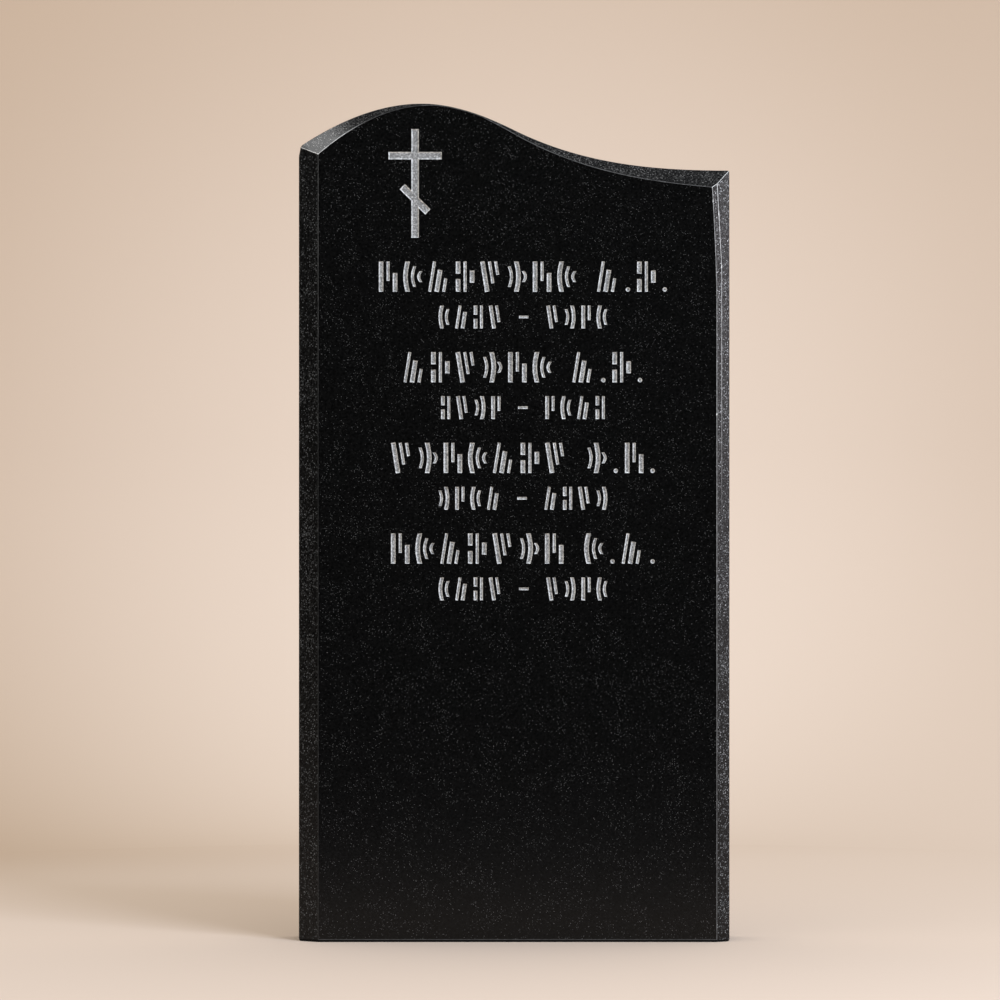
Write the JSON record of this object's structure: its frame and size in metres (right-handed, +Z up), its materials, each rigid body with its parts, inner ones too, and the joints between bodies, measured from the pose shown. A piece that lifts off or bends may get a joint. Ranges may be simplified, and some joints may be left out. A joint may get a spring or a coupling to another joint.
{
  "type": "headstone",
  "caption": "Upright black granite headstone slab with a waved top, bevelled front edges, a carved slanted-bar cross and rows of shallow carved strokes.",
  "frame": {"origin": "centre of the underside, on the ground", "axes": "+Z up the slab, +X to the right as seen from the front, +Y through the thickness from the carved front to the back, so the carved face looks along -Y"},
  "size_m": [0.5, 0.08, 0.9715],
  "materials": {
    "black_granite": "gloss"
  },
  "bodies": {
    "root": {"headstone": "black_granite"}
  },
  "joints": []
}
